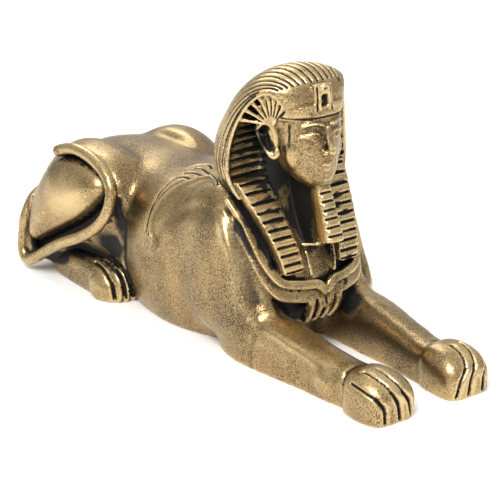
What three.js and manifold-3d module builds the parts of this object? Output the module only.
// A small cast brass sphinx: a lion lying down with a king's head in a striped headcloth.
// Millimetres, +Z up. The sphinx faces -Y, its right side is at -X, and it lies on z = 0.
import * as THREE from "three";
import { LoftGeometry } from "three/addons/geometries/LoftGeometry.js";
import { mergeVertices } from "three/addons/utils/BufferGeometryUtils.js";
import Module from "manifold-3d";

const wasm = await Module();
wasm.setup();

// Driving dimensions. The figure is a free form, drawn in shares of its own length.
const LENGTH = 65.2; // paw tips to rump
const DRAWN_LENGTH = 65.2; // the length that the shape numbers below are drawn at
const S = LENGTH / DRAWN_LENGTH;

const STRIPES = 14; // stripes of the headcloth, from one edge over the crown to the other
const STRIPE_DEPTH = 0.28 * S;
const CLOTH_THICKNESS = 3.2; // of the headcloth's side wings, in drawing units
const RIBS = 12; // ribs across each lappet
const RIB_DEPTH = 0.32 * S;
const BAND_HALF_WIDTH = 0.55 * S; // collar bands
const BAND_HALF_THICKNESS = 0.4 * S;
const HEM_RADIUS = 0.36 * S; // raised hem of the mane over each shoulder
const TAIL_RADIUS = 0.66 * S;
const TAIL_LIFT = 0.6; // how far the middle of the tail stands out of the haunch, in drawing units
const HAUNCH_OUT = 9.8; // from the middle plane to the side of the haunch, in drawing units
const HAUNCH_LEAN = 0.12; // how far the haunch leans in for each unit of height
const HAUNCH_MIDDLE_Z = 11;
const RIM_WIDTH = 0.75; // rim of the haunch round the channel of the thigh muscle
const TUFT_RADIUS = 0.6 * S; // locks of hair under the collar
const TOES = 4;

const RIGHT = -1;
const LEFT = 1;
const SIDES = [RIGHT, LEFT];

// Shape tools

function toSolid(geometry) {
  const plain = new THREE.BufferGeometry();
  plain.setAttribute("position", geometry.getAttribute("position").clone());
  plain.setIndex(geometry.index ?? [...Array(geometry.getAttribute("position").count).keys()]);
  const merged = mergeVertices(plain, 1e-4);
  const corner = merged.index.array;
  const kept = [];
  for (let i = 0; i < corner.length; i += 3) {
    const [a, b, c] = [corner[i], corner[i + 1], corner[i + 2]];
    if (a !== b && b !== c && a !== c) kept.push(a, b, c);
  }
  const make = (triVerts) =>
    new wasm.Manifold(
      new wasm.Mesh({
        numProp: 3,
        vertProperties: new Float32Array(merged.attributes.position.array),
        triVerts: new Uint32Array(triVerts),
      }),
    );
  const made = make(kept);
  return made.volume() > 0 ? made : make(kept.reverse());
}

const union = (solids) => solids.reduce((all, one) => all.add(one));

// Catmull-Rom through rows of numbers, at share t of the way along.
function between(rows, t) {
  const spans = rows.length - 1;
  const i = Math.min(spans - 1, Math.floor(t * spans));
  const f = t * spans - i;
  const [p0, p1, p2, p3] = [rows[Math.max(i - 1, 0)], rows[i], rows[i + 1], rows[Math.min(i + 2, spans)]];
  return p1.map((v, k) => {
    const [a, b, c, d] = [p0[k], v, p2[k], p3[k]];
    const cubic = 3 * b - a - 3 * c + d;
    return 0.5 * (2 * b + (c - a) * f + (2 * a - 5 * b + 4 * c - d) * f ** 2 + cubic * f ** 3);
  });
}

// A round-ended body through stations [along, across, height, half width, half height].
// axis "y" has upright sections, axis "z" level ones, with "along" the place on that axis.
function limb(axis, stations, { around = 16, steps = 20, square = 2.2, side = 1 }) {
  const sections = [];
  for (let i = 0; i <= steps; i++) {
    const t = (1 - Math.cos((Math.PI * i) / steps)) / 2;
    const [along, across, height, halfWide, halfHigh] = between(stations, t);
    const closing = i === 0 || i === steps ? 0 : 1; // the ends close to a point
    const ring = [];
    for (let j = 0; j < around; j++) {
      const angle = (2 * Math.PI * (j + 0.5)) / around;
      const c = Math.cos(angle);
      const s = Math.sin(angle);
      const u = Math.sign(c) * Math.abs(c) ** (2 / square) * Math.max(halfWide, 0.05) * closing;
      const v = Math.sign(s) * Math.abs(s) ** (2 / square) * Math.max(halfHigh, 0.05) * closing;
      const x = side * (across + u) * S;
      ring.push(
        axis === "y"
          ? new THREE.Vector3(x, along * S, (height + v) * S)
          : new THREE.Vector3(x, (height + v) * S, along * S),
      );
    }
    sections.push(ring);
  }
  return toSolid(new LoftGeometry(sections));
}

// An ellipsoid that can narrow towards one end of its Y axis, turned and placed.
function blob({ at, radii, turn = [0, 0, 0], taper = 0, around = 16, rings = 12, side = 1 }) {
  const ball = new THREE.SphereGeometry(1, around, rings);
  ball.rotateX(Math.PI / 2);
  const p = ball.getAttribute("position");
  const v = new THREE.Vector3();
  const rotation = new THREE.Euler(...turn.map(THREE.MathUtils.degToRad));
  for (let i = 0; i < p.count; i++) {
    v.fromBufferAttribute(p, i);
    const narrow = 1 - taper * (v.y + 1) * 0.5;
    v.set(v.x * radii[0] * narrow, v.y * radii[1], v.z * radii[2] * narrow).applyEuler(rotation);
    p.setXYZ(i, side * (at[0] + v.x) * S, (at[1] + v.y) * S, (at[2] + v.z) * S);
  }
  return toSolid(ball);
}

// A round bar along a smooth curve through the points.
function bar(points, radius, { steps = 40, sides = 7, side = 1, wide = 1 }) {
  const places = points.map(([x, y, z]) => new THREE.Vector3(side * x * S, y * S, z * S));
  const path = new THREE.CatmullRomCurve3(places);
  const shape = new THREE.Shape();
  for (let i = 0; i < sides; i++) {
    const a = (2 * Math.PI * i) / sides;
    const [u, v] = [Math.cos(a) * radius, Math.sin(a) * radius * wide];
    if (i) shape.lineTo(u, v);
    else shape.moveTo(u, v);
  }
  shape.closePath();
  return toSolid(new THREE.ExtrudeGeometry(shape, { extrudePath: path, steps }));
}

// A flat band along a smooth curve; face is the way its broad side looks.
function strap(points, half, thick, face, steps) {
  const path = new THREE.CatmullRomCurve3(points.map(([x, y, z]) => new THREE.Vector3(x * S, y * S, z * S)));
  const sections = [];
  for (let i = 0; i <= steps; i++) {
    const place = path.getPoint(i / steps);
    const run = path.getTangent(i / steps);
    const out = new THREE.Vector3(...face);
    out.addScaledVector(run, -run.dot(out)).normalize();
    const over = new THREE.Vector3().crossVectors(run, out);
    const corners = [[-half, -thick], [half, -thick], [half, thick], [-half, thick]];
    sections.push(corners.map(([a, b]) => place.clone().addScaledVector(over, a).addScaledVector(out, b)));
  }
  return toSolid(new LoftGeometry(closedEnds(sections)));
}

// Sections with a point added at each end, so that the loft through them is a closed body.
function closedEnds(sections) {
  const middles = [sections[0], sections.at(-1)].map((ring) => {
    const middle = ring.reduce((sum, p) => sum.add(p), new THREE.Vector3()).divideScalar(ring.length);
    return ring.map(() => middle);
  });
  return [middles[0], ...sections, middles[1]];
}

function block(low, high) {
  const size = high.map((v, i) => (v - low[i]) * S);
  const box = new THREE.BoxGeometry(...size);
  box.translate(...high.map((v, i) => ((v + low[i]) / 2) * S));
  return toSolid(box);
}

// The lion

function trunk() {
  // [y, x, z of the middle, half width, half height]
  const stations = [
    [32.2, 0, 9, 0.5, 0.5],
    [31, 0, 8.6, 4.5, 6.0],
    [28.5, 0, 7.8, 7.0, 8.2],
    [24, 0, 7.2, 8.4, 9.6],
    [19, 0, 7.0, 7.8, 10.0],
    [14, 0, 7.0, 7.4, 9.9],
    [10, 0, 7.0, 8.4, 10.2],
    [5, 0, 7.2, 9.6, 11.0],
    [0, 0, 8.0, 9.0, 11.2],
    [-4, 0, 8.8, 7.6, 10.6],
    [-7, 0, 9.0, 6.0, 8.0],
    [-9, 0, 9.0, 3.4, 4.4],
    [-9.6, 0, 9.0, 0.5, 0.6],
  ];
  return limb("y", stations, { around: 18, steps: 15, square: 2.6 });
}

// Side view outlines of the haunch and of the thigh muscle set into it: [y, z].
const HAUNCH = [
  [26.5, 16.3], [22.9, 17.5], [19.6, 17.5], [16.6, 16.7], [14.8, 15.6], [14.0, 14.2], [14.2, 12.4],
  [15.2, 10.6], [17.0, 8.9], [19.8, 7.2], [23.4, 5.5], [26.6, 3.7], [29.0, 2.1], [31.2, 1.2],
  [32.4, 2.2], [32.5, 4.2], [32.2, 6.8], [31.2, 10.2], [29.2, 13.8],
];
const THIGH = [
  [27.4, 14.8], [25.2, 15.7], [22.6, 16.3], [20.0, 16.4], [17.8, 15.8], [16.4, 14.6], [16.6, 13.2],
  [18.6, 11.2], [21.4, 9.2], [24.6, 7.3], [28.0, 5.5], [29.8, 4.2], [31.0, 4.6], [31.0, 7.6], [29.8, 11.2],
];

// How far out the side of the haunch stands: it leans in towards its top.
const leaning = (out, z) => out - HAUNCH_LEAN * (z - HAUNCH_MIDDLE_Z);

// A plug with such an outline: rows of [distance out, share of the outline, growth all round].
function plug(outline, count, rows, side) {
  const curve = new THREE.CatmullRomCurve3(outline.map(([y, z]) => new THREE.Vector3(0, y, z)), true);
  const points = curve.getPoints(count).slice(0, -1);
  const middle = points.reduce((sum, p) => sum.add(p), new THREE.Vector3()).divideScalar(points.length);
  const sections = rows.map(([out, share, growth]) =>
    points.map((point, i) => {
      const run = curve.getTangent(i / count);
      const y = middle.y + (point.y - middle.y) * share + run.z * growth;
      const z = middle.z + (point.z - middle.z) * share - run.y * growth;
      return new THREE.Vector3(side * leaning(out, z) * S, y * S, z * S);
    }),
  );
  return toSolid(new LoftGeometry(closedEnds(sections)));
}

function haunch(side) {
  const mass = blob({ at: [6.0, 22.8, 10.6], radii: [4.4, 9.2, 7.4], around: 14, rings: 10, side });
  const rump = blob({ at: [6.6, 28.2, 5.2], radii: [3.8, 4.6, 5.2], around: 12, rings: 8, side });
  const core = plug(HAUNCH, 24, [[5, 1, 0], [HAUNCH_OUT, 1, 0]], side);
  const groove = plug(HAUNCH, 24, [[8.6, 1, -RIM_WIDTH], [15, 1, -RIM_WIDTH]], side);
  const dome = [[6, 1, 0], [10.0, 1, 0], [10.9, 0.92, 0], [11.6, 0.74, 0], [12.0, 0.4, 0]];
  return union([mass, rump, core]).subtract(groove).add(plug(THIGH, 22, dome, side));
}

// The tail comes down the rump and follows the edge of the right haunch all round.
function tail() {
  const root = [[0, 31.4, 10.8], [-4.6, 32.2, 10.6], [-8.8, 32.6, 9.2]];
  const edge = HAUNCH.slice(0, -2).reverse();
  const lying = edge.map(([y, z]) => [RIGHT * leaning(HAUNCH_OUT + TAIL_LIFT, z), y, z]);
  return bar([...root, ...lying], TAIL_RADIUS, { steps: 36, sides: 6 });
}

function hindFoot(side) {
  const stations = [
    [30.0, 7.8, 1.2, 0.5, 0.6],
    [28.6, 8.0, 1.4, 1.6, 1.8],
    [24, 8.0, 1.6, 1.9, 2.6],
    [19, 8.0, 1.6, 2.0, 2.7],
    [16.4, 7.8, 1.4, 2.1, 2.7],
    [14.8, 7.4, 1.2, 1.9, 2.2],
    [14.0, 7.4, 1.2, 0.6, 0.6],
  ];
  const foot = limb("y", stations, { around: 10, steps: 8, side });
  return foot.add(toes({ x: 6.9, y: 15.6, z: 1.2, width: 5.4, length: 2.6, height: 2.7, side }));
}

// Toes side by side: rounded lobes with a crease between each two.
function toes({ x, y, z, width, length, height, side }) {
  const lobes = [];
  for (let i = 0; i < TOES; i++) {
    const share = (i + 0.5) / TOES - 0.5;
    lobes.push(
      blob({
        at: [x + share * width, y + Math.abs(share) * length * 0.5, z],
        radii: [(width / TOES) * 0.62, length, height * (1 - 0.3 * share * share)],
        around: 7,
        rings: 6,
        side,
      }),
    );
  }
  return union(lobes);
}

function foreLeg(side) {
  const shoulderForm = { at: [6.2, -1.8, 9.8], radii: [3.4, 7.2, 9.4], turn: [12, 0, 0] };
  const shoulder = blob({ ...shoulderForm, around: 13, rings: 9, side });
  const upper = limb(
    "z",
    [
      [-1.5, 6.6, -8.0, 1.6, 3.2],
      [1.5, 6.8, -8.0, 2.0, 5.0],
      [5, 7.2, -7.6, 2.3, 4.8],
      [10, 7.4, -6.0, 2.4, 4.2],
      [15, 7.1, -4.6, 2.2, 3.4],
      [18, 6.4, -3.8, 1.2, 1.6],
    ],
    { around: 11, steps: 8, side },
  );
  const fore = limb(
    "y",
    [
      [-3.5, 6.2, 1.6, 0.8, 1.0],
      [-6, 6.2, 1.8, 2.2, 4.6],
      [-10, 6.3, 2.0, 2.4, 5.0],
      [-15, 6.0, 1.8, 2.3, 3.6],
      [-20, 5.6, 1.6, 2.1, 2.9],
      [-25, 5.3, 1.6, 2.3, 2.7],
      [-28, 5.3, 1.8, 2.7, 3.1],
      [-30.4, 5.3, 1.5, 2.6, 2.7],
      [-31.4, 5.3, 1.4, 1.6, 1.6],
    ],
    { around: 12, steps: 12, side },
  );
  const paw = toes({ x: 5.3, y: -29.0, z: 1.6, width: 5.9, length: 3.2, height: 3.05, side });
  return union([shoulder, upper, fore, paw]);
}

function maneHem(side) {
  const path = [
    [9.3, 8.0, 9.4], [9.1, 6.9, 12.8], [8.4, 4.8, 15.8], [7.4, 2.2, 17.9], [7.2, -1.2, 19.0],
    [7.9, -3.8, 18.0], [8.1, -6.0, 16.0], [7.9, -7.8, 13.6], [7.4, -9.4, 11.2], [6.6, -10.8, 9.0],
  ];
  return bar(path, HEM_RADIUS, { steps: 16, sides: 5, side });
}

// Chest, collar and beard

function chest() {
  const stations = [
    [0, 0, -4, 5.0, 4.0],
    [3.5, 0, -4.6, 5.6, 6.0],
    [7, 0, -5.6, 6.4, 7.0],
    [10, 0, -5.8, 7.0, 6.9],
    [13, 0, -5.2, 7.2, 5.6],
    [16, 0, -4.6, 6.8, 4.6],
    [20, 0, -4.6, 4.8, 3.4],
    [24, 0, -5.6, 3.2, 3.0],
  ];
  return limb("z", stations, { around: 16, steps: 10, square: 2.4 });
}

// Two flat bands side by side, coming to a point over the breast.
function collar() {
  const upper = [
    [-7.6, -5.6, 18.4], [-7.4, -7.6, 16.6], [-7.1, -9.2, 14.4], [-6.6, -10.8, 12.0], [-5.4, -12.4, 9.8],
    [-3.2, -13.2, 9.2], [-1.2, -13.6, 9.0], [0, -13.7, 8.2],
  ];
  const lower = upper.map(([x, y, z]) => [x * 1.03, y + 0.15, z - 1.35]);
  const whole = (half) => [...half, ...half.slice(0, -1).reverse().map(([x, y, z]) => [-x, y, z])];
  const facing = [0, -1, 0.25];
  return union(
    [upper, lower].map((half) => strap(whole(half), BAND_HALF_WIDTH, BAND_HALF_THICKNESS, facing, 26)),
  );
}

function tufts() {
  const strands = [-1.65, -0.55, 0.55, 1.65].map((x) => {
    const lock = [[x, -13.2, 7.0], [x * 0.9, -12.7, 5.2], [x * 0.6, -11.4, 3.0]];
    return bar(lock, TUFT_RADIUS, { steps: 3, sides: 6 });
  });
  return union(strands);
}

// A lappet of the headcloth: a flat strip down the chest, crossed by ribs.
function lappet(side) {
  const rows = [];
  for (let i = 0; i <= 2 * RIBS; i++) {
    const t = i / (2 * RIBS);
    const [y, z, middle, half] = between(
      [
        [-7.6, 20.6, 5.6, 2.2],
        [-9.6, 18.0, 5.1, 1.9],
        [-11.8, 14.6, 4.5, 1.6],
        [-13.2, 11.8, 4.1, 1.3],
        [-13.4, 11.2, 4.0, 1.2],
      ],
      t,
    );
    const rise = (i % 2 ? 1 : 0) * (RIB_DEPTH / S);
    const [front, back] = [y - rise, y + 3];
    rows.push(
      [
        [middle - half, front + 0.3],
        [middle - half * 0.7, front],
        [middle + half * 0.7, front],
        [middle + half, front + 0.3],
        [middle + half, back],
        [middle - half, back],
      ].map(([x, along]) => new THREE.Vector3(side * x * S, along * S, z * S)),
    );
  }
  return toSolid(new LoftGeometry(closedEnds(rows)));
}

function beard() {
  const stations = [
    [20.6, 0, -12.4, 0.9, 0.9],
    [18, 0, -13.2, 1.0, 1.2],
    [15, 0, -14.2, 1.2, 1.4],
    [14.2, 0, -14.4, 1.2, 1.3],
  ];
  const web = block([-0.7, -14, 13.6], [0.7, -8, 20]);
  return limb("z", stations, { around: 12, steps: 7, square: 3.2 }).add(web);
}

// The head

function face() {
  const skull = limb(
    "z",
    [
      [20.0, 0, -11.8, 1.2, 1.2],
      [21.0, 0, -11.0, 2.4, 2.5],
      [23, 0, -10.0, 3.4, 3.6],
      [25.5, 0, -9.5, 3.9, 4.2],
      [28, 0, -9.2, 3.9, 4.3],
      [30, 0, -8.8, 3.6, 4.0],
      [31.5, 0, -8.4, 2.2, 2.4],
    ],
    { around: 16, steps: 10, square: 2.2 },
  );
  const noseForm = { at: [0, -13.9, 25.2], radii: [0.62, 0.8, 1.9], turn: [-16, 0, 0] };
  const nose = blob({ ...noseForm, around: 10, rings: 8 });
  const features = [skull, nose];
  for (const side of SIDES) {
    features.push(blob({ at: [1.75, -12.75, 26.1], radii: [1.0, 0.8, 0.5], around: 10, rings: 8, side }));
    features.push(blob({ at: [0.75, -13.3, 22.7], radii: [0.95, 0.7, 0.34], around: 8, rings: 6, side }));
    features.push(ear(side));
  }
  return union(features);
}

function ear(side) {
  const rim = new THREE.TorusGeometry(1.25 * S, 0.42 * S, 5, 10);
  rim.scale(0.75, 1.35, 1);
  rim.rotateX(Math.PI / 2);
  rim.rotateZ((-side * Math.PI * 38) / 180);
  rim.translate(side * 4.7 * S, -9.6 * S, 25.6 * S);
  return toSolid(rim);
}

// The striped shell of the headcloth: each section is an arch from the border beside the right
// cheek, over the crown line, to the border on the left, so that the stripes run front to back.
function headcloth() {
  // [border: half width, y, z, then crown line: y, z]
  const profile = [
    [3.8, -11.3, 29.6, -12.1, 29.8],
    [4.6, -10.6, 30.6, -12.1, 31.2],
    [5.5, -9.4, 30.7, -11.1, 32.3],
    [6.6, -8.2, 29.5, -9.2, 32.95],
    [7.6, -7.3, 27.3, -6.6, 32.7],
    [8.2, -6.8, 24.8, -3.8, 31.2],
    [8.4, -6.7, 23.0, -1.4, 28.6],
    [8.4, -6.8, 21.4, 0.7, 25.8],
    [8.0, -7.2, 19.9, 2.1, 22.8],
    [7.4, -7.8, 18.6, 2.4, 20.2],
  ];
  const rows = 13;
  const sections = [];
  for (let i = 0; i <= rows; i++) {
    const [half, borderY, borderZ, crownY, crownZ] = between(profile, i / rows);
    const ring = [];
    for (let j = 0; j <= 2 * STRIPES; j++) {
      const across = (j / STRIPES - 1) * (Math.PI / 2);
      const arch = Math.cos(across);
      const lift = 1 + ((j % 2 ? 1 : 0) * STRIPE_DEPTH) / S / 10;
      const y = borderY + (crownY - borderY) * arch * lift;
      const z = borderZ + (crownZ - borderZ) * arch * lift;
      ring.push(new THREE.Vector3(Math.sin(across) * half * lift * S, y * S, z * S));
    }
    for (const inner of [half - CLOTH_THICKNESS, CLOTH_THICKNESS - half]) {
      ring.push(new THREE.Vector3(inner * S, (borderY + 0.4) * S, borderZ * S));
    }
    sections.push(ring);
  }
  return toSolid(new LoftGeometry(closedEnds(sections)));
}

function headband() {
  const path = [
    [-4.3, -8.6, 28.4], [-3.9, -10.9, 28.4], [-2.3, -12.5, 28.6], [0, -13.0, 28.7],
    [2.3, -12.5, 28.6], [3.9, -10.9, 28.4], [4.3, -8.6, 28.4],
  ];
  return strap(path, 0.62 * S, 0.3 * S, [0, -1, 0.1], 18);
}

// A flat hood standing on the headband.
function cobra() {
  const hood = [[0, -13.3, 28.9], [0, -13.1, 30.0], [0, -13.0, 31.2]];
  const head = blob({ at: [0, -13.2, 31.3], radii: [0.5, 0.6, 0.5], around: 8, rings: 6 });
  return strap(hood, 0.75 * S, 0.35 * S, [0, -1, 0], 4).add(head);
}

// Assembly

function sphinx() {
  const parts = [trunk(), tail(), chest(), collar(), tufts(), beard()];
  parts.push(face(), headcloth(), headband(), cobra());
  for (const side of SIDES) {
    parts.push(haunch(side), hindFoot(side), foreLeg(side), maneHem(side), lappet(side));
  }
  const ground = block([-40, -60, -20], [40, 60, 0]);
  return union(parts).subtract(ground);
}

function toGeometry(solid) {
  const mesh = solid.getMesh();
  const geometry = new THREE.BufferGeometry();
  geometry.setAttribute("position", new THREE.BufferAttribute(mesh.vertProperties, 3));
  geometry.setIndex(new THREE.BufferAttribute(mesh.triVerts, 1));
  geometry.computeVertexNormals();
  return geometry;
}

const brass = new THREE.MeshStandardMaterial({ color: 0xb59a5e, roughness: 0.38, metalness: 1 });
const figure = new THREE.Mesh(toGeometry(sphinx()), brass);
figure.name = "sphinx";
figure.geometry.computeBoundingBox();
const middle = figure.geometry.boundingBox.getCenter(new THREE.Vector3());
figure.geometry.translate(-middle.x, -middle.y, 0);

const group = new THREE.Group();
group.add(figure);
export default group;
